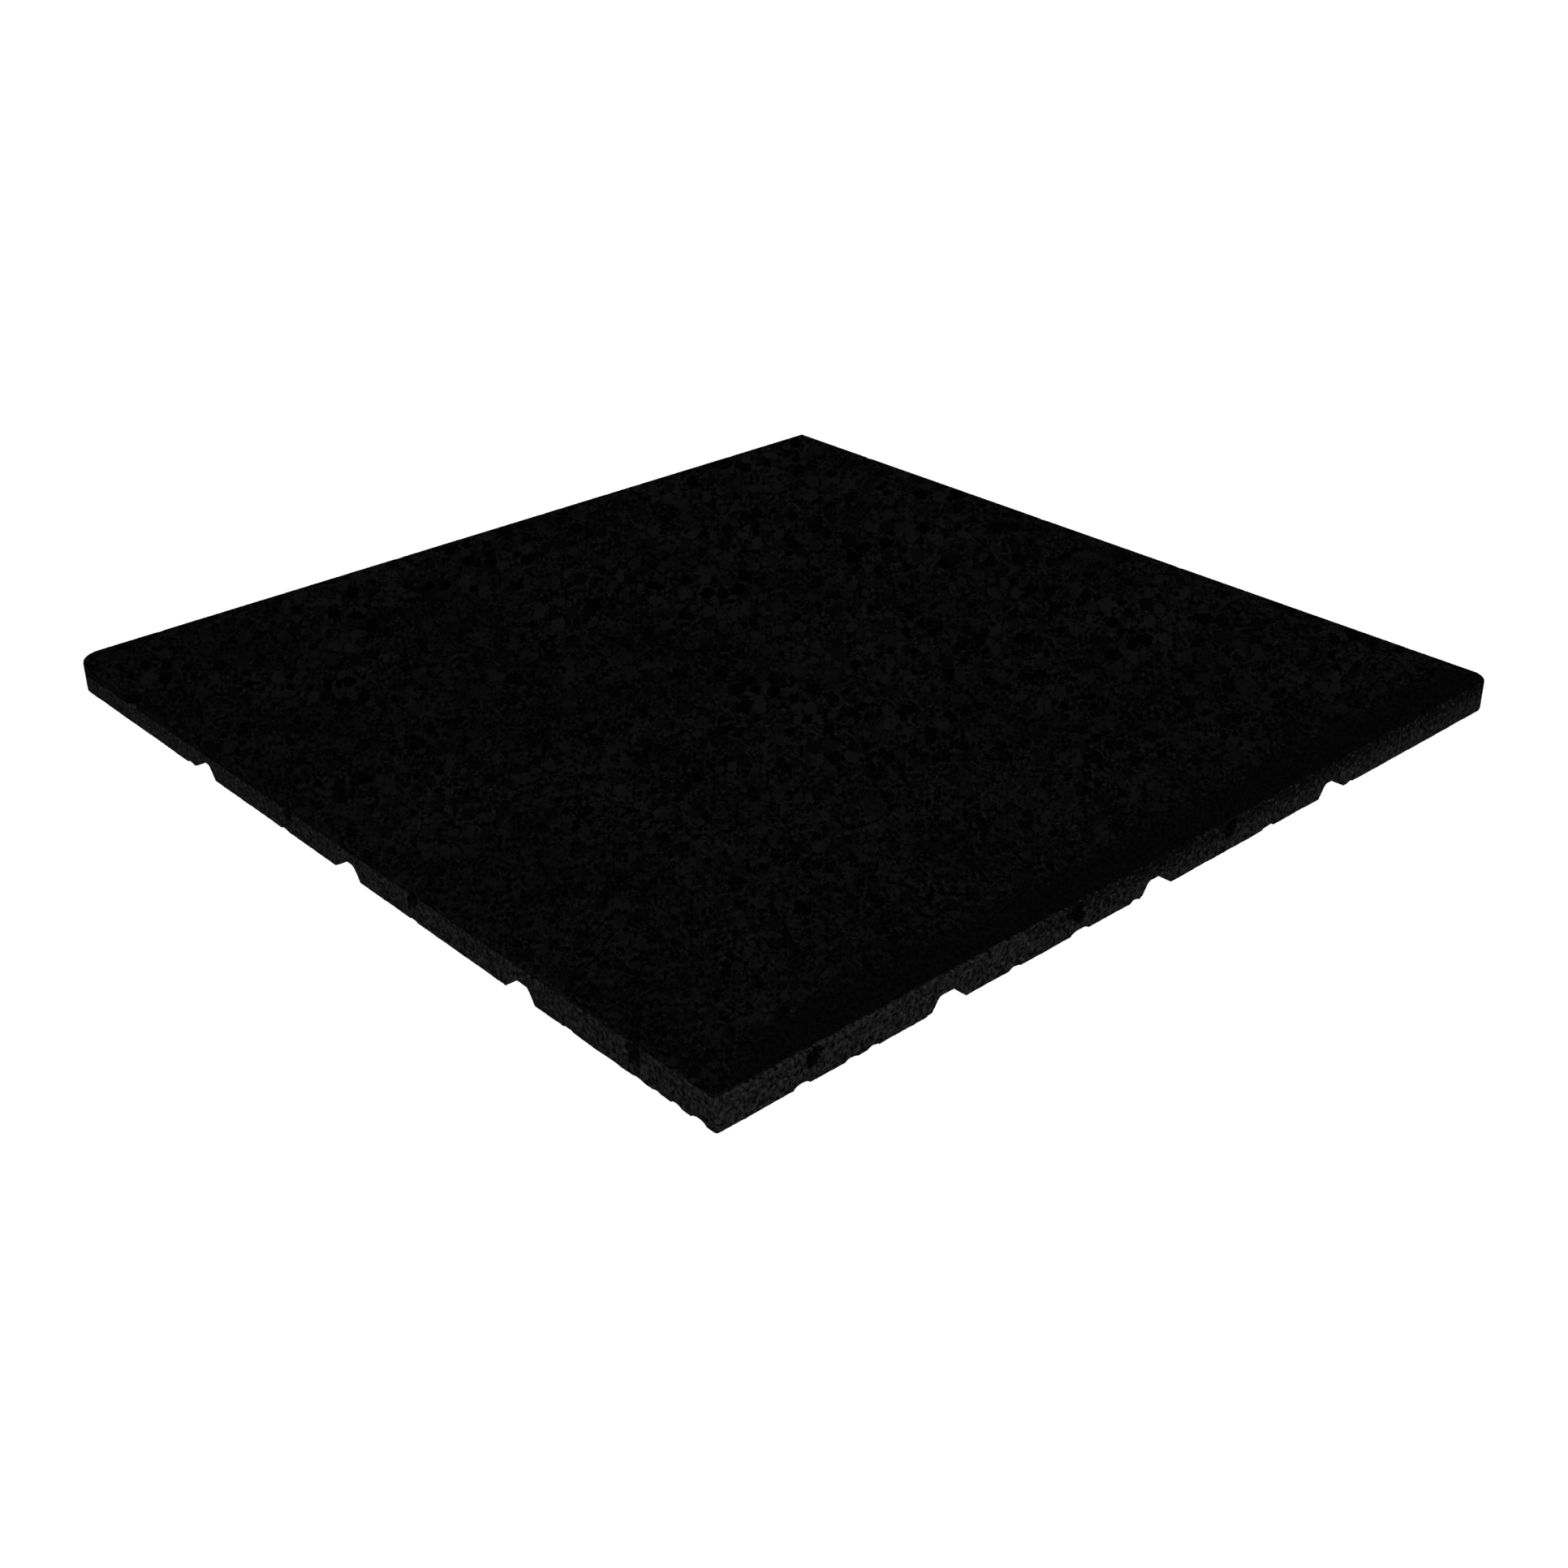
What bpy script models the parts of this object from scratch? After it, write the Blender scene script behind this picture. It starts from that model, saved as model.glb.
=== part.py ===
"""Rubber safety tile: one slab of pressed and bonded rubber crumb, 1 m square and 30 mm thick.

The slab lies flat, its underside on z = 0 and its middle over the origin. Seen from the front
corner (+X, -Y), the left side face looks along -Y and the right one along +X. Three drainage
channels run each way across the underside and leave sixteen flat pads to stand on. Four blind
sockets in each side face take the loose dowels that join neighbouring tiles. Channels and sockets
keep the same places on opposite faces, so that tiles in a row meet. All in metres.
"""
import math

import bmesh
import bpy
from mathutils import Matrix, Vector

# Slab
SIDE = 1.000
THICKNESS = 0.030
TOP_EDGE_RADIUS = 0.002
TOP_EDGE_STEPS = 3

# Plan corners: the sharp ones at the front and the back, and the full ones to the left and right
SHARP_CORNER_RADIUS = 0.003
LEFT_CORNER_RADIUS = 0.028
RIGHT_CORNER_RADIUS = 0.022
CORNER_STEPS = 8

# Channels and sockets make up one even pattern, its middle a little towards the front corner
PATTERN_MIDDLE = (0.015, -0.015)

# Drainage channels in the underside: leaning walls, a flat roof with round corners, a rolled lip
CHANNEL_SPACING = 0.250
CHANNELS_EACH_WAY = 3
CHANNEL_DEPTH = 0.013
CHANNEL_MOUTH = 0.042
CHANNEL_WALL_LEAN = math.radians(34.0)
CHANNEL_ROOF_RADIUS = 0.006
CHANNEL_LIP_RADIUS = 0.003
CHANNEL_LIP_DIP = 0.0003
LIP_STEPS = 2

# Dowel sockets, in the solid layer that is left above the channels
SOCKET_DIAMETER = 0.012
SOCKET_DEPTH = 0.045
SOCKET_OFFSETS = (-0.390, -0.100, 0.100, 0.390)
SOCKET_HEIGHT = 0.020
SOCKET_SIDES = 16

# How far a cutter runs out past the face that it enters
CUTTER_OVERRUN = 0.010

CRUMB_COLOUR = (0.010, 0.010, 0.010, 1.0)
CRUMB_ROUGHNESS = 0.90

HALF = SIDE / 2


def clear_scene():
    """Start from an empty file."""
    for old in list(bpy.data.objects):
        bpy.data.objects.remove(old, do_unlink=True)


def crumb_material():
    """Black rubber crumb, matt all over."""
    material = bpy.data.materials.new("rubber_crumb")
    material.use_nodes = True
    shader = material.node_tree.nodes["Principled BSDF"]
    shader.inputs["Base Color"].default_value = CRUMB_COLOUR
    shader.inputs["Roughness"].default_value = CRUMB_ROUGHNESS
    shader.inputs["Metallic"].default_value = 0.0
    return material


def arc(centre, radius, start, end, steps):
    """Points along an arc from one angle to another, both ends included."""
    angles = [start + (end - start) * step / steps for step in range(steps + 1)]
    return [(centre[0] + radius * math.cos(a), centre[1] + radius * math.sin(a)) for a in angles]


def round_corner(before, corner, after, radius):
    """Points of the arc that rounds one corner of an outline that turns to the left."""
    corner = Vector(corner)
    back = (Vector(before) - corner).normalized()
    ahead = (Vector(after) - corner).normalized()
    half_angle = back.angle(ahead) / 2
    centre = corner + (back + ahead).normalized() * radius / math.sin(half_angle)
    turn = math.pi - 2 * half_angle
    heading = math.atan2(-back.y, -back.x)
    start = heading - math.pi / 2
    return arc(centre, radius, start, start + turn, CORNER_STEPS)


def plan_outline():
    """The slab's outline seen from above, anticlockwise from the left corner."""
    corners = [
        ((-HALF, -HALF), LEFT_CORNER_RADIUS),
        ((HALF, -HALF), SHARP_CORNER_RADIUS),
        ((HALF, HALF), RIGHT_CORNER_RADIUS),
        ((-HALF, HALF), SHARP_CORNER_RADIUS),
    ]
    outline = []
    for index, (corner, radius) in enumerate(corners):
        before = corners[index - 1][0]
        after = corners[(index + 1) % len(corners)][0]
        outline += round_corner(before, corner, after, radius)
    return outline


def mesh_object(name, bm):
    """Put a finished bmesh into the scene as an object."""
    bmesh.ops.recalc_face_normals(bm, faces=bm.faces[:])
    mesh = bpy.data.meshes.new(name)
    bm.to_mesh(mesh)
    bm.free()
    obj = bpy.data.objects.new(name, mesh)
    bpy.context.scene.collection.objects.link(obj)
    return obj


def extruded(bm, points, run):
    """Add a closed prism to the bmesh: an outline of 3-D points, carried along a vector."""
    face = bm.faces.new([bm.verts.new(point) for point in points])
    far = bmesh.ops.extrude_face_region(bm, geom=[face])
    far_verts = [item for item in far["geom"] if isinstance(item, bmesh.types.BMVert)]
    bmesh.ops.translate(bm, verts=far_verts, vec=run)
    return far_verts


def slab_blank():
    """The uncut slab, with the rounding that the mould leaves along its top edge."""
    bm = bmesh.new()
    outline = [(x, y, 0.0) for x, y in plan_outline()]
    top = set(extruded(bm, outline, Vector((0.0, 0.0, THICKNESS))))
    rim = [edge for edge in bm.edges if set(edge.verts) <= top]
    bmesh.ops.bevel(bm, geom=rim, offset=TOP_EDGE_RADIUS, offset_type="OFFSET",
                    segments=TOP_EDGE_STEPS, profile=0.5, affect="EDGES")
    return mesh_object("rubber_tile", bm)


def channel_section():
    """Outline of one channel's cutter, across (first) and up (second)."""
    half_mouth = CHANNEL_MOUTH / 2
    lip_height = CHANNEL_LIP_RADIUS - CHANNEL_LIP_DIP
    lip = arc((half_mouth, lip_height), CHANNEL_LIP_RADIUS,
              -math.pi / 2, CHANNEL_WALL_LEAN - math.pi, LIP_STEPS)
    wall_run = (CHANNEL_DEPTH - lip_height) * math.tan(CHANNEL_WALL_LEAN)
    half_roof = half_mouth - CHANNEL_LIP_RADIUS / math.cos(CHANNEL_WALL_LEAN) - wall_run
    roof_corner = round_corner(lip[-1], (half_roof, CHANNEL_DEPTH), (-half_roof, CHANNEL_DEPTH),
                               CHANNEL_ROOF_RADIUS)
    right = [(half_mouth, -CUTTER_OVERRUN)] + lip + roof_corner
    left = [(-across, up) for across, up in reversed(right)]
    return right + left


def channel_offsets():
    """Centre lines of the channels, even about the middle of their pattern."""
    middle = (CHANNELS_EACH_WAY - 1) / 2
    return [(index - middle) * CHANNEL_SPACING for index in range(CHANNELS_EACH_WAY)]


def channel_cutter(name, pattern_middle, turn):
    """The channels of one direction: along Y with no turn, along X with a quarter turn."""
    bm = bmesh.new()
    reach = HALF + CUTTER_OVERRUN
    for offset in channel_offsets():
        line = pattern_middle + offset
        section = [(line + across, -reach, up) for across, up in channel_section()]
        extruded(bm, section, Vector((0.0, 2 * reach, 0.0)))
    bmesh.ops.rotate(bm, verts=bm.verts[:], matrix=Matrix.Rotation(turn, 3, "Z"))
    return mesh_object(name, bm)


def socket_cutter():
    """The sixteen dowel sockets, four square to each side face."""
    bm = bmesh.new()
    length = SOCKET_DEPTH + CUTTER_OVERRUN
    middle = HALF - SOCKET_DEPTH + length / 2
    along_x = Matrix.Rotation(math.pi / 2, 4, "Y")
    along_y = Matrix.Rotation(math.pi / 2, 4, "X")
    for offset in SOCKET_OFFSETS:
        for end in (-middle, middle):
            in_x_face = Vector((end, PATTERN_MIDDLE[1] + offset, SOCKET_HEIGHT))
            in_y_face = Vector((PATTERN_MIDDLE[0] + offset, end, SOCKET_HEIGHT))
            for place, axis in ((in_x_face, along_x), (in_y_face, along_y)):
                bmesh.ops.create_cone(bm, cap_ends=True, segments=SOCKET_SIDES,
                                      radius1=SOCKET_DIAMETER / 2, radius2=SOCKET_DIAMETER / 2,
                                      depth=length, matrix=Matrix.Translation(place) @ axis)
    return mesh_object("socket_cutter", bm)


def cut(body, cutter):
    """Take a cutter's shape out of a body, and keep the cutter as a hidden guide."""
    cutter.hide_render = True
    cutter.display_type = "WIRE"
    boolean = body.modifiers.new(cutter.name, "BOOLEAN")
    boolean.operation = "DIFFERENCE"
    boolean.solver = "EXACT"
    boolean.object = cutter


def rubber_tile():
    """The whole tile: one pressed piece, cut with its channels and its dowel sockets."""
    tile = slab_blank()
    tile.data.materials.append(crumb_material())
    cut(tile, channel_cutter("channels_along_y", PATTERN_MIDDLE[0], 0.0))
    cut(tile, channel_cutter("channels_along_x", PATTERN_MIDDLE[1], math.pi / 2))
    cut(tile, socket_cutter())
    return tile


clear_scene()
rubber_tile()
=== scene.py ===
"""Looks of the rubber safety tile: bonded crumb all over, on a white studio floor."""
import math
import random

import bpy
import numpy as np
from mathutils import Matrix, Vector


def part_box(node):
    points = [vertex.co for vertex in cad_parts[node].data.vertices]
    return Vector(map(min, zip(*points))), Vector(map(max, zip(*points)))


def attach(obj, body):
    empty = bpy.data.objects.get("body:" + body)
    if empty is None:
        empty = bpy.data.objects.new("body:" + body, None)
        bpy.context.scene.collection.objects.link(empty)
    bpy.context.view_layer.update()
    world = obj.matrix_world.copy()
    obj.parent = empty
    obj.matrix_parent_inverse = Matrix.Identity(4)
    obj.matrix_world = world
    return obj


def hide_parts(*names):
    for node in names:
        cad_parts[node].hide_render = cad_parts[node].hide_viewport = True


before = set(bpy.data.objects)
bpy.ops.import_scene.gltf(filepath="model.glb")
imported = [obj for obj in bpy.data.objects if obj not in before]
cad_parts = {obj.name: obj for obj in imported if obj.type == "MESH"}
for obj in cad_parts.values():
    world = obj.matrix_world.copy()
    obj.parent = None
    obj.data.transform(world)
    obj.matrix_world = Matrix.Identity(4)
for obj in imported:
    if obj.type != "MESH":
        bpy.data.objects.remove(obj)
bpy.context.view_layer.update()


# Camera. A product shot from the front corner: a 48 mm lens on a 36 mm sensor, 28 degrees above
# the floor, aimed at the near half of the top face, with a slight roll.
CAMERA_PLACE = Vector((1.4042, -1.2443, 0.9133))
CAMERA_AIM = Vector((0.1892, -0.1547, 0.0300))
CAMERA_ROLL = math.radians(-0.506)
CAMERA_LENS = 47.82

camera_data = bpy.data.cameras.new("camera")
camera_data.lens = CAMERA_LENS
camera_data.sensor_width = 36.0
camera_data.clip_start = 0.05
camera = bpy.data.objects.new("camera", camera_data)
bpy.context.scene.collection.objects.link(camera)
look = (CAMERA_AIM - CAMERA_PLACE).to_track_quat("-Z", "Y").to_matrix().to_4x4()
camera.matrix_world = Matrix.Translation(CAMERA_PLACE) @ look @ Matrix.Rotation(CAMERA_ROLL, 4, "Z")
bpy.context.scene.camera = camera


def add_node(tree, kind, sockets=None, **settings):
    """A shader node with its settings, and its input sockets set or linked by name or number."""
    node = tree.nodes.new(kind)
    for name, value in settings.items():
        setattr(node, name, value)
    for name, value in (sockets or {}).items():
        if isinstance(value, bpy.types.NodeSocket):
            tree.links.new(value, node.inputs[name])
        else:
            node.inputs[name].default_value = value
    return node


# Studio. A white floor that runs out of sight under a white surround, lit low and softly from the
# front corner, so that the side faces come out a little lighter than the black top.
FLOOR_SIZE = 40.0
FLOOR_WHITE = 1.05
SURROUND_WHITE = 1.05
FLOOR_BOUNCE = 0.20
SURROUND_LIGHT = 0.08
KEY_AZIMUTH = math.radians(-36.0)
KEY_ELEVATION = math.radians(20.0)
KEY_DISTANCE = 6.0
KEY_SIZE = 3.0
KEY_POWER = 67.5


def seen_and_given(tree, seen, given):
    """White light of one strength as the camera sees it, and of another as it falls on things."""
    path = add_node(tree, "ShaderNodeLightPath")
    return add_node(tree, "ShaderNodeMix", {"Factor": path.outputs["Is Camera Ray"],
                                            "A": given, "B": seen}).outputs["Result"]


bpy.context.scene.view_settings.view_transform = "Standard"
world = bpy.data.worlds.new("surround")
world.use_nodes = True
bpy.context.scene.world = world
tree = world.node_tree
tree.links.new(seen_and_given(tree, SURROUND_WHITE, SURROUND_LIGHT),
               tree.nodes["Background"].inputs["Strength"])
tree.nodes["Background"].inputs["Color"].default_value = (1.0, 1.0, 1.0, 1.0)

bpy.ops.object.select_all(action="DESELECT")
bpy.ops.mesh.primitive_plane_add(size=FLOOR_SIZE, location=(0.0, 0.0, 0.0))
floor = bpy.context.object
floor.name = "studio_floor"
floor_white = bpy.data.materials.new("floor_white")
floor_white.use_nodes = True
tree = floor_white.node_tree
shader = tree.nodes["Principled BSDF"]
shader.inputs["Base Color"].default_value = (0.0, 0.0, 0.0, 1.0)
shader.inputs["Roughness"].default_value = 1.0
shader.inputs["Specular IOR Level"].default_value = 0.0
shader.inputs["Emission Color"].default_value = (1.0, 1.0, 1.0, 1.0)
tree.links.new(seen_and_given(tree, FLOOR_WHITE, FLOOR_BOUNCE), shader.inputs["Emission Strength"])
floor.data.materials.append(floor_white)

key_data = bpy.data.lights.new("key", "AREA")
key_data.shape = "SQUARE"
key_data.size = KEY_SIZE
key_data.energy = KEY_POWER
key = bpy.data.objects.new("key", key_data)
bpy.context.scene.collection.objects.link(key)
towards_key = Vector((math.cos(KEY_ELEVATION) * math.cos(KEY_AZIMUTH),
                      math.cos(KEY_ELEVATION) * math.sin(KEY_AZIMUTH), math.sin(KEY_ELEVATION)))
key.location = towards_key * KEY_DISTANCE
key.rotation_euler = towards_key.to_track_quat("Z", "Y").to_euler()


# Tile. One slab of rubber crumb, pressed and bonded in a mould. The crumb stands out all over it.
# Its lower edges are a little wavy, with small chips, and the sockets' mouths are ragged where
# crumb has come away.
GRID_DEPTH = 9
GRID_SHARE = 0.99
CRUMB_SIZE = 0.0026
CRUMB_RELIEF = 0.00035
FOOT_REACH = 0.006
EDGE_WAVE_SIZE = 0.018
EDGE_WAVE_HEIGHT = 0.0013
EDGE_WAVE_MIDDLE = 0.3
SOCKETS_MIDDLE = (0.015, -0.015)
SOCKET_OFFSETS = (-0.390, -0.100, 0.100, 0.390)
SOCKET_HEIGHT = 0.020
MOUTH_REACH = (0.007, 0.011)
MOUTH_LUMP = 0.005
MOUTH_WEAR = 0.004
MERGE_DISTANCE = 0.00001
FACES_KEPT = 185_000
FINE_BAND = (0.003, 0.007)
FINE_WEIGHT = 4.0
SEED = 11
# Chips at the foot of the right (+X) and the left (-Y) side face: place along it, length, height
RIGHT_CHIPS = ((-0.418, 0.016, 0.0035), (-0.346, 0.012, 0.0020), (-0.190, 0.014, 0.0020),
               (-0.112, 0.022, 0.0035), (0.140, 0.018, 0.0022))
LEFT_CHIPS = ((0.480, 0.016, 0.0030), (0.455, 0.012, 0.0022), (0.327, 0.012, 0.0015))
CHIP_DEPTH = 0.006
CHIP_ROUGHNESS = 0.0006
LOOSE_CHIPS_EACH_SIDE = 5
LOOSE_CHIP_SPAN = 0.45
LOOSE_CHIP_LENGTH = (0.006, 0.014)
LOOSE_CHIP_HEIGHT = (0.0010, 0.0022)

low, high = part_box("rubber_tile")
chance = random.Random(SEED)


def apply_modifier(piece, kind, **settings):
    """Add a modifier to the piece with these settings, and apply it."""
    bpy.context.view_layer.objects.active = piece
    modifier = piece.modifiers.new(kind.lower(), kind)
    for name, value in settings.items():
        setattr(modifier, name, value)
    bpy.ops.object.modifier_apply(modifier=modifier.name)


def vertex_places(piece):
    """The piece's vertices as an array, one row of x, y and z each."""
    places = np.empty(len(piece.data.vertices) * 3, np.float32)
    piece.data.vertices.foreach_get("co", places)
    return places.reshape(-1, 3)


def side_distance(places):
    """How far each place is from the nearest side face of the slab."""
    return np.minimum(high.x - np.abs(places[:, 0]), high.y - np.abs(places[:, 1]))


def socket_distance(places):
    """How far each place is from the middle line of the nearest dowel socket."""
    in_x_face = np.abs(places[:, 0]) > np.abs(places[:, 1])
    along = np.where(in_x_face, places[:, 1] - SOCKETS_MIDDLE[1], places[:, 0] - SOCKETS_MIDDLE[0])
    nearest = np.abs(along[:, None] - np.array(SOCKET_OFFSETS)).min(axis=1)
    return np.hypot(nearest, places[:, 2] - SOCKET_HEIGHT)


def fading(values, full, none):
    """Weights that fade from one where a value is full to nothing where it is none."""
    return np.clip((none - values) / (none - full), 0.0, 1.0)


def weight_group(piece, name, weights, levels=8):
    """A vertex group that holds these weights, from 0 to 1, in a few even steps."""
    group = piece.vertex_groups.new(name=name)
    steps = np.rint(weights * levels).astype(int)
    for level in range(1, levels + 1):
        members = np.flatnonzero(steps == level)
        if len(members):
            group.add(members.tolist(), level / levels, "REPLACE")
    return group.name


def chip_ball(place, length, height):
    """A lumpy flat ball with its middle on a lower edge, for taking one chip out of it."""
    along_x = abs(place[1]) > abs(place[0])
    bpy.ops.object.select_all(action="DESELECT")
    bpy.ops.mesh.primitive_ico_sphere_add(subdivisions=2, radius=1.0, location=place)
    ball = bpy.context.object
    reach = (length / 2, CHIP_DEPTH, height) if along_x else (CHIP_DEPTH, length / 2, height)
    bpy.ops.transform.resize(value=reach)
    bpy.ops.object.transform_apply(location=True, rotation=True, scale=True)
    bpy.ops.object.mode_set(mode="EDIT")
    bpy.ops.transform.vertex_random(offset=CHIP_ROUGHNESS, seed=chance.randrange(10_000))
    bpy.ops.object.mode_set(mode="OBJECT")
    return ball


bpy.ops.object.select_all(action="DESELECT")
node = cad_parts["rubber_tile"]
node.select_set(True)
bpy.context.view_layer.objects.active = node
bpy.ops.object.duplicate()
tile = bpy.context.object
tile.name = tile.data.name = "crumb_tile"
bpy.ops.object.mode_set(mode="EDIT")
bpy.ops.mesh.select_all(action="SELECT")
bpy.ops.mesh.remove_doubles(threshold=MERGE_DISTANCE)
bpy.ops.object.mode_set(mode="OBJECT")

chips = [((high.x, along, low.z), length, height) for along, length, height in RIGHT_CHIPS]
chips += [((along, low.y, low.z), length, height) for along, length, height in LEFT_CHIPS]
for side in range(4):
    for _ in range(LOOSE_CHIPS_EACH_SIDE):
        along = chance.uniform(-LOOSE_CHIP_SPAN, LOOSE_CHIP_SPAN)
        face = (high.x, high.y, low.x, low.y)[side]
        place = (along, face, low.z) if side % 2 else (face, along, low.z)
        chips.append((place, chance.uniform(*LOOSE_CHIP_LENGTH), chance.uniform(*LOOSE_CHIP_HEIGHT)))
balls = [chip_ball(*chip) for chip in chips]
bpy.ops.object.select_all(action="DESELECT")
for ball in balls:
    ball.select_set(True)
bpy.context.view_layer.objects.active = balls[0]
bpy.ops.object.join()
apply_modifier(tile, "BOOLEAN", operation="DIFFERENCE", solver="EXACT", object=balls[0],
               use_self=True)
bpy.data.objects.remove(balls[0], do_unlink=True)

apply_modifier(tile, "REMESH", mode="SHARP", octree_depth=GRID_DEPTH, scale=GRID_SHARE)

places = vertex_places(tile)
near_side = fading(side_distance(places), 0.0, FOOT_REACH)
weight_group(tile, "foot", near_side * fading(places[:, 2] - low.z, 0.0, FOOT_REACH))
weight_group(tile, "mouths", near_side * fading(socket_distance(places), *MOUTH_REACH))
waves = bpy.data.textures.new("edge_waves", "CLOUDS")
waves.noise_scale = EDGE_WAVE_SIZE
apply_modifier(tile, "DISPLACE", texture=waves, texture_coords="LOCAL", direction="Z",
               vertex_group="foot", strength=EDGE_WAVE_HEIGHT,
               mid_level=EDGE_WAVE_MIDDLE)
lumps = bpy.data.textures.new("mouth_lumps", "CLOUDS")
lumps.noise_scale = MOUTH_LUMP
apply_modifier(tile, "DISPLACE", texture=lumps, texture_coords="LOCAL", direction="NORMAL",
               vertex_group="mouths", strength=-MOUTH_WEAR, mid_level=0.0)
crumb = bpy.data.textures.new("crumb", "VORONOI")
crumb.noise_scale = CRUMB_SIZE
apply_modifier(tile, "DISPLACE", texture=crumb, texture_coords="LOCAL", direction="NORMAL",
               strength=-CRUMB_RELIEF, mid_level=0.0)

weight_group(tile, "fine", fading(side_distance(vertex_places(tile)), *FINE_BAND))
apply_modifier(tile, "DECIMATE", decimate_type="COLLAPSE",
               ratio=FACES_KEPT / (2 * len(tile.data.polygons)), vertex_group="fine",
               invert_vertex_group=True, vertex_group_factor=FINE_WEIGHT)
tile.vertex_groups.clear()
tile.data.shade_smooth()

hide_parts("rubber_tile")
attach(tile, "root")

# Rubber crumb. Shredded black tyre rubber, bound with a little clear binder, its crumbs about three
# millimetres across. The pressed top is darker and flatter, with larger flat crumbs and open pores,
# and the side faces are the paler, open grain.
TOP_TONE = 0.0150
SIDE_TONE = 0.0275
UNDERSIDE_SHARE = 0.78
CRUMB_ROUGHNESS = 0.9
CRUMB_SPECULAR = 0.02
BUMP_STRENGTH = 0.6
BUMP_DISTANCE = 0.0006
GRAIN_BUMP = 1.6
CRUMB_BUMP = 0.5
FLAT_BUMP = 1.3
# Noise: size of the largest forms, detail and roughness, and the span that it mostly keeps to
BROAD_PATCHES = (0.110, 2.0)
SMALL_PATCHES = (0.006, 3.0)
TOP_GRAIN = (0.0045, 4.0, 0.85)
SIDE_GRAIN = (0.0042, 4.0, 0.80)
PATCH_SPAN = (0.3, 0.7)
# How things are pushed about: size of the noise, and by how much
CRUMB_PUSH = (0.003, 0.004)
FLAT_PUSH = (0.008, 0.004)
TOP_CRUMB = 0.0036
SIDE_CRUMB = 0.0032
# Flat crumbs of two sizes: spacing, share, smallest, largest, and how many are left at the front
FLAT_CRUMBS = ((0.0105, 0.64, 0.26, 0.46, 0.85), (0.0185, 0.66, 0.26, 0.42, 0.60))
PORES = {"Spacing": 0.0058, "Share": 0.55, "Smallest": 0.18, "Largest": 0.42}
PORE_TONE = 0.02
PITS = {"Spacing": 0.0062, "Share": 0.42, "Smallest": 0.15, "Largest": 0.32}
PIT_SHARE = 0.15
# Pale grains all over, crowded near the top of the side faces as painted glints
GRAINS_AND_GLINTS = {"Spacing": 0.0060, "Smallest": 0.16, "Largest": 0.30}
PALE_DEPTH = (0.0015, 0.0035)
GRAIN_AND_GLINT_SHARE = (0.60, 0.08)
PALE_COVER = 0.9
GRAIN_AND_GLINT_TONE = 2.6


def spread(tree, value, from_low, from_high, to_low=0.0, to_high=1.0, kind="SMOOTHSTEP"):
    """A value carried from one span to another, held at its ends."""
    node = add_node(tree, "ShaderNodeMapRange",
                    {"Value": value, "From Min": from_low, "From Max": from_high,
                     "To Min": to_low, "To Max": to_high}, interpolation_type=kind)
    return node.outputs["Result"]


def calc(tree, operation, *values):
    """One sum on one to three values."""
    return add_node(tree, "ShaderNodeMath", dict(enumerate(values)), operation=operation).outputs[0]


def product(tree, *values):
    """All the values multiplied together."""
    result = values[0]
    for value in values[1:]:
        result = calc(tree, "MULTIPLY", result, value)
    return result


def blend(tree, share, under, over):
    """One value laid over another by a share."""
    return add_node(tree, "ShaderNodeMix", {"Factor": share, "A": under, "B": over}).outputs["Result"]


def cloud(tree, place, size, detail, roughness=0.5):
    """Soft noise whose largest forms have this size."""
    return add_node(tree, "ShaderNodeTexNoise", {"Vector": place, "Scale": 1 / size, "Detail": detail,
                                                 "Roughness": roughness}).outputs


def pushed_about(tree, place, size, amount):
    """A place pushed about by soft noise, so that what is drawn with it gets uneven outlines."""
    off = add_node(tree, "ShaderNodeVectorMath",
                   {0: cloud(tree, place, size, 1.0)["Color"], 1: (0.5, 0.5, 0.5)}, operation="SUBTRACT")
    return add_node(tree, "ShaderNodeVectorMath",
                    {0: off.outputs[0], 1: (amount, amount, amount), 2: place},
                    operation="MULTIPLY_ADD").outputs[0]


def new_group(name, inputs, outputs):
    """An empty shader group with its sockets: inputs with their usual values, and outputs."""
    group = bpy.data.node_groups.new(name, "ShaderNodeTree")
    for socket, (kind, value) in inputs.items():
        made = group.interface.new_socket(socket, in_out="INPUT", socket_type=kind)
        if value is not None:
            made.default_value = value
    for socket in outputs:
        group.interface.new_socket(socket, in_out="OUTPUT", socket_type="NodeSocketFloat")
    return group, group.nodes.new("NodeGroupInput").outputs, group.nodes.new("NodeGroupOutput").inputs


def round_spots():
    """Group: flat round spots, one in some of the cells of a loose grid, each with a tone."""
    group, given, out = new_group("round_spots", {
        "Place": ("NodeSocketVector", None), "Spacing": ("NodeSocketFloat", 0.010),
        "Share": ("NodeSocketFloat", 0.5), "Smallest": ("NodeSocketFloat", 0.2),
        "Largest": ("NodeSocketFloat", 0.4)}, ("Mask", "Tone"))
    cells = add_node(group, "ShaderNodeTexVoronoi",
                     {"Vector": given["Place"], "Scale": calc(group, "DIVIDE", 1.0, given["Spacing"]),
                      "Randomness": 0.8}, voronoi_dimensions="2D")
    lots = add_node(group, "ShaderNodeSeparateColor", {"Color": cells.outputs["Color"]}).outputs
    radius = spread(group, lots[1], 0.0, 1.0, given["Smallest"], given["Largest"], "LINEAR")
    inside = spread(group, calc(group, "SUBTRACT", radius, cells.outputs["Distance"]), -0.03, 0.05)
    chosen = calc(group, "LESS_THAN", lots[0], given["Share"])
    group.links.new(product(group, inside, chosen), out["Mask"])
    group.links.new(lots[2], out["Tone"])
    return group


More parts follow.
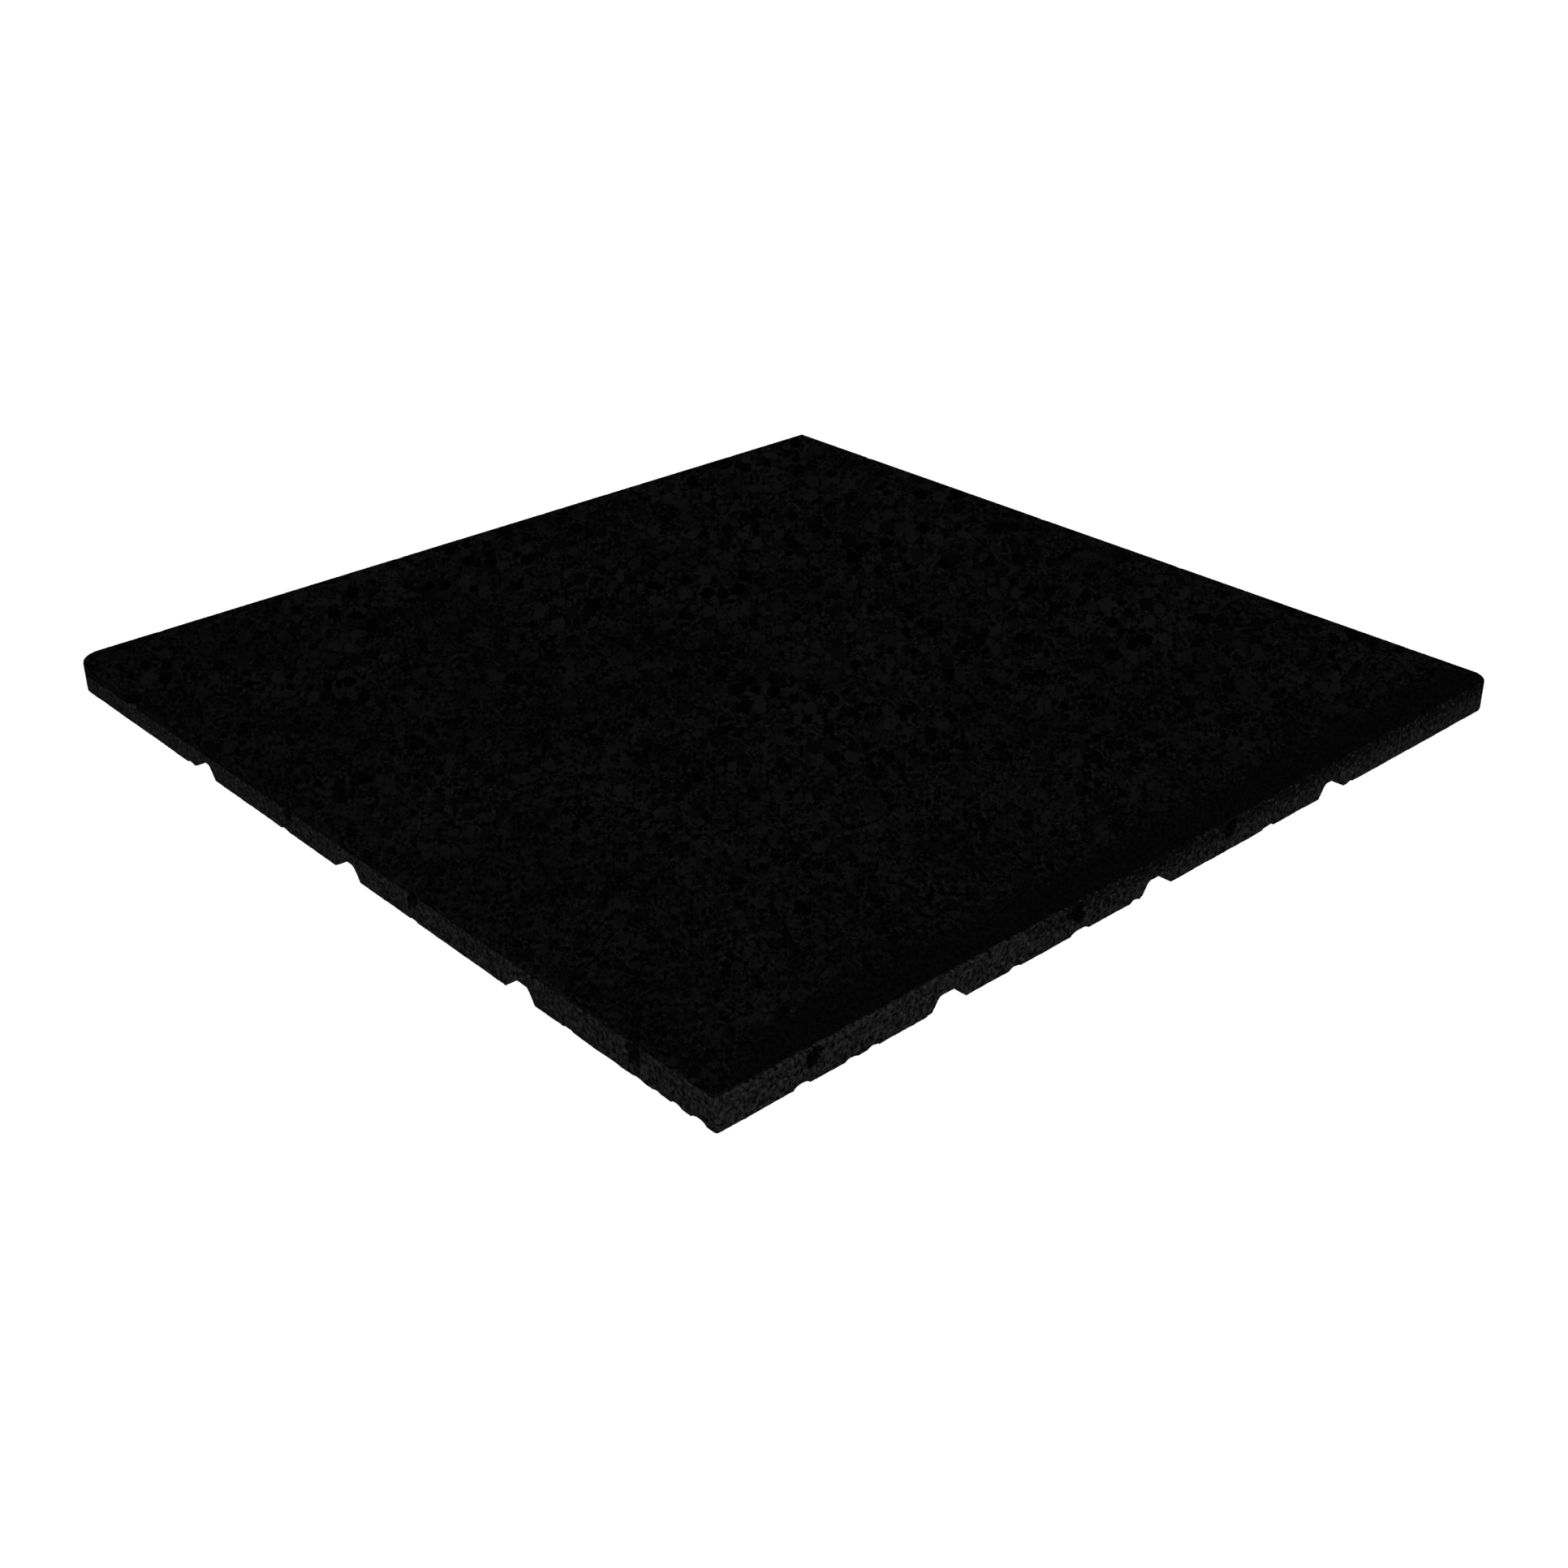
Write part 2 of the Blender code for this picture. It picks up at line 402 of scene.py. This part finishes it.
def packed_crumb():
    """Group: single crumbs packed side by side, each with a tone and a rounded height."""
    group, given, out = new_group("packed_crumb", {
        "Place": ("NodeSocketVector", None), "Size": ("NodeSocketFloat", 0.0025)}, ("Tone", "Height"))
    cells = add_node(group, "ShaderNodeTexVoronoi",
                     {"Vector": given["Place"], "Scale": calc(group, "DIVIDE", 1.0, given["Size"])})
    lots = add_node(group, "ShaderNodeSeparateColor", {"Color": cells.outputs["Color"]}).outputs
    group.links.new(lots[0], out["Tone"])
    group.links.new(calc(group, "SUBTRACT", 1.0, cells.outputs["Distance"]), out["Height"])
    return group


SPOTS = round_spots()
CRUMB = packed_crumb()


def use_group(tree, group, **sockets):
    """A group placed in a material with its own values."""
    return add_node(tree, "ShaderNodeGroup", sockets, node_tree=group).outputs


# Where the tone changes over the tile, in metres. The top's tone runs over the left side face in a
# dark wedge of painted shade, deepest at the left corner. The open grain of the right side face reaches
# a little way over its top edge, with a painted highlight there and on the rounded top edges. Its far
# part is shaded towards that edge with painted shade, and a smooth darker band runs along the edge on
# the top.
TOP_SLOPE = (0.50, 0.70)
TOP_DEPTH = (0.0010, 0.0016)
TOP_FROM_RIM = (0.0004, 0.0010)
RIM_WIDTH = 0.0028
RIM_RAGGED = 0.0007
# Painted highlight: how much the rounded top edges and the strip over the right edge are lightened
RIM_HIGHLIGHT_GAIN = 1.4
# Painted shade: the dark wedge on the left side face, its depth at the left corner, where it fades out,
# its share of the top's tone and its blur
WEDGE_DEPTH = 0.0125
WEDGE_FADE = (-0.470, -0.380)
WEDGE_SHADE_SHARE = 0.50
WEDGE_BLUR = 0.0003
SHADE_START = (-0.190, -0.110)
RIGHT_FACE = (0.44, 0.47)
SHADE_DEPTH = (0.004, 0.021)
SHADE_SHARE = 0.36
SHADE_RAGGED = 0.005
BAND_EDGE = (0.052, 0.034)
BAND_SHARE = 0.60
BAND_STARTS = (-0.500, -0.420)
BAND_START_INSET = 0.050
BAND_RAGGED = 0.012
# Painted shade in the near sockets' mouths: its reach, its share, how ragged it is, and which sockets
# get it
MOUTH_SHADE_REACH = (0.0075, 0.0098)
MOUTH_SHADE_SHARE = 0.22
MOUTH_SHADE_RAGGED = 0.002
SHADED_MOUTHS = (0.260, 0.280)
FINE_FRONT = (-0.15, 0.65)
# Painted light: the top is made lighter towards +Y, where less of the key's light reaches
PAINTED_LIGHT_ALONG_Y = (0.93, 1.09)
CRUMB_DRAWN_OUT = 2.1
DRAWN_OUT_TOWARDS = math.radians(48.0)
FAN_LENGTH = 3.0
OVER_EDGE = 2.0

crumb_finish = bpy.data.materials.new("rubber_crumb_black")
crumb_finish.use_nodes = True
tree = crumb_finish.node_tree
place = add_node(tree, "ShaderNodeTexCoord").outputs["Object"]
axes = add_node(tree, "ShaderNodeSeparateXYZ", {"Vector": place}).outputs
facing = add_node(tree, "ShaderNodeNewGeometry").outputs["Normal"]
rise = add_node(tree, "ShaderNodeSeparateXYZ", {"Vector": facing}).outputs["Z"]
depth = calc(tree, "SUBTRACT", high.z, axes["Z"])
small_noise = cloud(tree, place, *SMALL_PATCHES)["Fac"]
broad_noise = cloud(tree, place, *BROAD_PATCHES)["Fac"]
from_side_x = calc(tree, "SUBTRACT", high.x, calc(tree, "ABSOLUTE", axes["X"]))
from_side_y = calc(tree, "SUBTRACT", high.y, calc(tree, "ABSOLUTE", axes["Y"]))
right_rim = calc(tree, "SUBTRACT", calc(tree, "SUBTRACT", high.x, axes["X"]), RIM_WIDTH)
from_rim = calc(tree, "MINIMUM", calc(tree, "MINIMUM", from_side_x, from_side_y), right_rim)
from_rim = calc(tree, "ADD", from_rim,
                spread(tree, small_noise, *PATCH_SPAN, -RIM_RAGGED, RIM_RAGGED))
up = product(tree, spread(tree, rise, *TOP_SLOPE), spread(tree, from_rim, *TOP_FROM_RIM),
             spread(tree, depth, *TOP_DEPTH, 1.0, 0.0))

# Top: fine crumb, larger flat crumbs laid over it, and small open pores. All of it is drawn out
# away from the front corner, grows a little larger that way, and carries on over the edge
laid_over = add_node(tree, "ShaderNodeCombineXYZ", {
    "X": axes["X"], "Y": calc(tree, "MULTIPLY_ADD", depth, -OVER_EDGE, axes["Y"])}).outputs[0]
turned = add_node(tree, "ShaderNodeMapping",
                  {"Vector": laid_over, "Rotation": (0, 0, -DRAWN_OUT_TOWARDS)})
run = add_node(tree, "ShaderNodeSeparateXYZ", {"Vector": turned.outputs[0]}).outputs
fan = calc(tree, "MULTIPLY_ADD", run["Y"], 1 / FAN_LENGTH, 1.0)
drawn = add_node(tree, "ShaderNodeCombineXYZ", {
    "X": calc(tree, "DIVIDE", run["X"], fan),
    "Y": calc(tree, "DIVIDE", run["Y"], product(tree, fan, CRUMB_DRAWN_OUT))}).outputs[0]
uneven = pushed_about(tree, drawn, *CRUMB_PUSH)
fine_noise = cloud(tree, drawn, *TOP_GRAIN)["Fac"]
fine = use_group(tree, CRUMB, Place=uneven, Size=TOP_CRUMB)
tone = product(tree, spread(tree, fine_noise, 0.39, 0.59, 0.0, 2.0),
               spread(tree, fine["Tone"], 0.0, 1.0, 0.40, 1.60, "LINEAR"))
laid = spread(tree, broad_noise, 0.35, 0.60, 0.65, 0.98)
towards_front = calc(tree, "SUBTRACT", axes["X"], axes["Y"])
flat_part = 0.0
for spacing, share, smallest, largest, at_front in FLAT_CRUMBS:
    spots = use_group(tree, SPOTS, Place=pushed_about(tree, drawn, *FLAT_PUSH), Spacing=spacing,
                      Share=share, Smallest=smallest, Largest=largest)
    cover = product(tree, spots["Mask"], laid,
                    spread(tree, towards_front, *FINE_FRONT, 1.0, at_front))
    tone = blend(tree, cover, tone, spread(tree, spots["Tone"], 0.15, 0.85, 0.0, 2.0))
    flat_part = calc(tree, "MAXIMUM", flat_part, cover)
pores = use_group(tree, SPOTS, Place=uneven, **PORES)
open_part = product(tree, pores["Mask"], spread(tree, flat_part, 0.0, 1.0, 1.0, 0.35))
tone = blend(tree, open_part, tone, PORE_TONE)
# Broad random mottling, and painted light that makes the top lighter towards +Y, where less of the key's
# light reaches
tone = product(tree, tone, spread(tree, broad_noise, *PATCH_SPAN, 0.85, 1.15),
               spread(tree, axes["Y"], low.y, high.y, *PAINTED_LIGHT_ALONG_Y, "LINEAR"))
band_reach = calc(tree, "ADD", calc(tree, "SUBTRACT", high.x, axes["X"]),
                  spread(tree, small_noise, *PATCH_SPAN, -BAND_RAGGED, BAND_RAGGED))
band_reach = calc(tree, "ADD", band_reach,
                  spread(tree, axes["Y"], *BAND_STARTS, BAND_START_INSET, 0.0, "LINEAR"))
band_tone = product(tree, spread(tree, fine_noise, 0.38, 0.62, 0.20, 1.80), BAND_SHARE)
in_band = spread(tree, band_reach, *BAND_EDGE)
top_tone = product(tree, blend(tree, in_band, tone, band_tone), TOP_TONE)

# Sides and underside: open grain with pits and a few pale grains, which crowd near the top of the side
# faces as painted glints. It is laid out along each face
level = spread(tree, calc(tree, "ABSOLUTE", rise), 0.60, 0.75)
along = calc(tree, "ADD", axes["X"], product(tree, axes["Y"], calc(tree, "SUBTRACT", 1.0, level)))
on_face = add_node(tree, "ShaderNodeCombineXYZ",
                   {"X": along, "Y": blend(tree, level, axes["Z"], axes["Y"])})
on_face = pushed_about(tree, on_face.outputs[0], *CRUMB_PUSH)
open_noise = cloud(tree, place, *SIDE_GRAIN)["Fac"]
grain = use_group(tree, CRUMB, Place=pushed_about(tree, place, *CRUMB_PUSH), Size=SIDE_CRUMB)
side_tone = product(tree, spread(tree, open_noise, 0.37, 0.63, 0.10, 1.90),
                    spread(tree, grain["Tone"], 0.0, 1.0, 0.55, 1.50, "LINEAR"))
pits = use_group(tree, SPOTS, Place=on_face, **PITS)
side_tone = product(tree, side_tone, spread(tree, pits["Mask"], 0.0, 1.0, 1.0, PIT_SHARE))

# Painted shade: the dark wedge, the shaded part and the sockets' mouths, into which little light reaches
wedge_foot = spread(tree, axes["X"], low.x, high.x, WEDGE_DEPTH, 0.0, "LINEAR")
wedge_foot = product(tree, wedge_foot, spread(tree, axes["Y"], *WEDGE_FADE, 1.0, 0.0))
below_rim = calc(tree, "SUBTRACT", depth, wedge_foot)
wedge = spread(tree, below_rim, -WEDGE_BLUR, WEDGE_BLUR, 1.0, 0.0)
shade_depth = calc(tree, "ADD", depth,
                   spread(tree, open_noise, 0.36, 0.64, -SHADE_RAGGED, SHADE_RAGGED))
shade = spread(tree, shade_depth, *SHADE_DEPTH, SHADE_SHARE, 1.0)
shade_part = product(tree, spread(tree, axes["Y"], *SHADE_START), spread(tree, axes["X"], *RIGHT_FACE))
side_tone = product(tree, side_tone, blend(tree, shade_part, 1.0, shade))
aside = []
for axis, middle in (("X", SOCKETS_MIDDLE[0]), ("Y", SOCKETS_MIDDLE[1])):
    offset = calc(tree, "ABSOLUTE", calc(tree, "SUBTRACT", axes[axis], middle))
    inner, outer = [calc(tree, "ABSOLUTE", calc(tree, "SUBTRACT", offset, line))
                    for line in SOCKET_OFFSETS[2:]]
    aside.append(calc(tree, "MINIMUM", inner, outer))
in_x_face = calc(tree, "LESS_THAN", from_side_x, from_side_y)
beside = blend(tree, in_x_face, *aside)
above = calc(tree, "SUBTRACT", axes["Z"], SOCKET_HEIGHT)
squares = calc(tree, "ADD", product(tree, beside, beside), product(tree, above, above))
from_socket = calc(tree, "ADD", calc(tree, "SQRT", squares),
                   spread(tree, small_noise, *PATCH_SPAN, -MOUTH_SHADE_RAGGED, MOUTH_SHADE_RAGGED))
# Painted shade in the mouths of the near sockets
mouth_shade = product(tree, spread(tree, from_socket, *MOUTH_SHADE_REACH, 1.0, 0.0),
                spread(tree, towards_front, *SHADED_MOUTHS))
side_tone = product(tree, side_tone, spread(tree, mouth_shade, 0.0, 1.0, 1.0, MOUTH_SHADE_SHARE))
# Pale grains, and painted glints where they crowd near the rim
pale_grains_glints = use_group(tree, SPOTS, Place=on_face, **GRAINS_AND_GLINTS,
                 Share=spread(tree, below_rim, *PALE_DEPTH, *GRAIN_AND_GLINT_SHARE))
side_tone = blend(tree, product(tree, pale_grains_glints["Mask"], PALE_COVER), side_tone, GRAIN_AND_GLINT_TONE)
# Darker on the underside, and a painted highlight on the rounded top edges and the strip over the right
# edge, left out on the shaded far part
side_tone = product(tree, side_tone, spread(tree, rise, -0.8, -0.5, UNDERSIDE_SHARE, 1.0),
                    spread(tree, rise, 0.2, 0.9, 1.0, blend(tree, shade_part, RIM_HIGHLIGHT_GAIN, 1.0)), SIDE_TONE)
# The wedge of painted shade takes the top's tone, darker still on the side face
wedge_shade_tone = product(tree, top_tone, spread(tree, rise, 0.1, 0.7, WEDGE_SHADE_SHARE, 1.0))
side_tone = blend(tree, wedge, side_tone, wedge_shade_tone)

albedo = blend(tree, up, side_tone, top_tone)
tint = add_node(tree, "ShaderNodeCombineColor", {"Red": albedo, "Green": albedo, "Blue": albedo})
height = calc(tree, "ADD", product(tree, blend(tree, up, open_noise, fine_noise), GRAIN_BUMP),
              product(tree, blend(tree, up, grain["Height"], fine["Height"]), CRUMB_BUMP))
height = blend(tree, product(tree, up, flat_part), height, FLAT_BUMP)
bump = add_node(tree, "ShaderNodeBump",
                {"Height": height, "Strength": BUMP_STRENGTH, "Distance": BUMP_DISTANCE})
shader = tree.nodes["Principled BSDF"]
shader.inputs["Roughness"].default_value = CRUMB_ROUGHNESS
shader.inputs["Specular IOR Level"].default_value = CRUMB_SPECULAR
tree.links.new(tint.outputs["Color"], shader.inputs["Base Color"])
tree.links.new(bump.outputs["Normal"], shader.inputs["Normal"])
tile.data.materials.clear()
tile.data.materials.append(crumb_finish)
